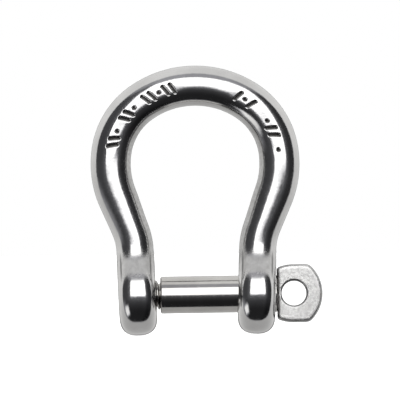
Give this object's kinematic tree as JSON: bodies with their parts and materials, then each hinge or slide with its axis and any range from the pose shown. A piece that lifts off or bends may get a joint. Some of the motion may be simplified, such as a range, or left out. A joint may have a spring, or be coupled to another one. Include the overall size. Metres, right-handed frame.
{
  "type": "bow shackle",
  "caption": "Omega-shaped polished steel bow with a round ear at each end, closed by a screw pin that has a flattened eye with a hole for turning and locking it.",
  "frame": {"origin": "on the pin's axis, midway between the two ears", "axes": "+X along the pin towards its eye, +Z towards the crown of the bow, Y across the bar, through the hole of the eye"},
  "size_m": [0.0309, 0.0108, 0.0363],
  "materials": {
    "polished_steel": "mirror-polished stainless steel, not plated",
    "blasted_steel": "satin, finely blasted stainless steel"
  },
  "bodies": {
    "bow": {"bow": "polished_steel"},
    "pin_shank": {"pin_shank": "polished_steel"},
    "pin_eye": {"pin_eye": "blasted_steel"}
  },
  "joints": [
    {"name": "pin_travel", "type": "slide", "parent": "bow", "child": "pin_shank", "axis": [1, 0, 0], "range_m": [0, 0.02117]},
    {"name": "pin_turn", "type": "hinge", "parent": "pin_shank", "child": "pin_eye", "pos_m": [0.01077, 0, 0], "axis": [1, 0, 0], "range_deg": [0, 10890]}
  ],
  "couplings": [
    {"joint": "pin_turn", "follows": "pin_travel", "rad_per_m": 8976}
  ]
}
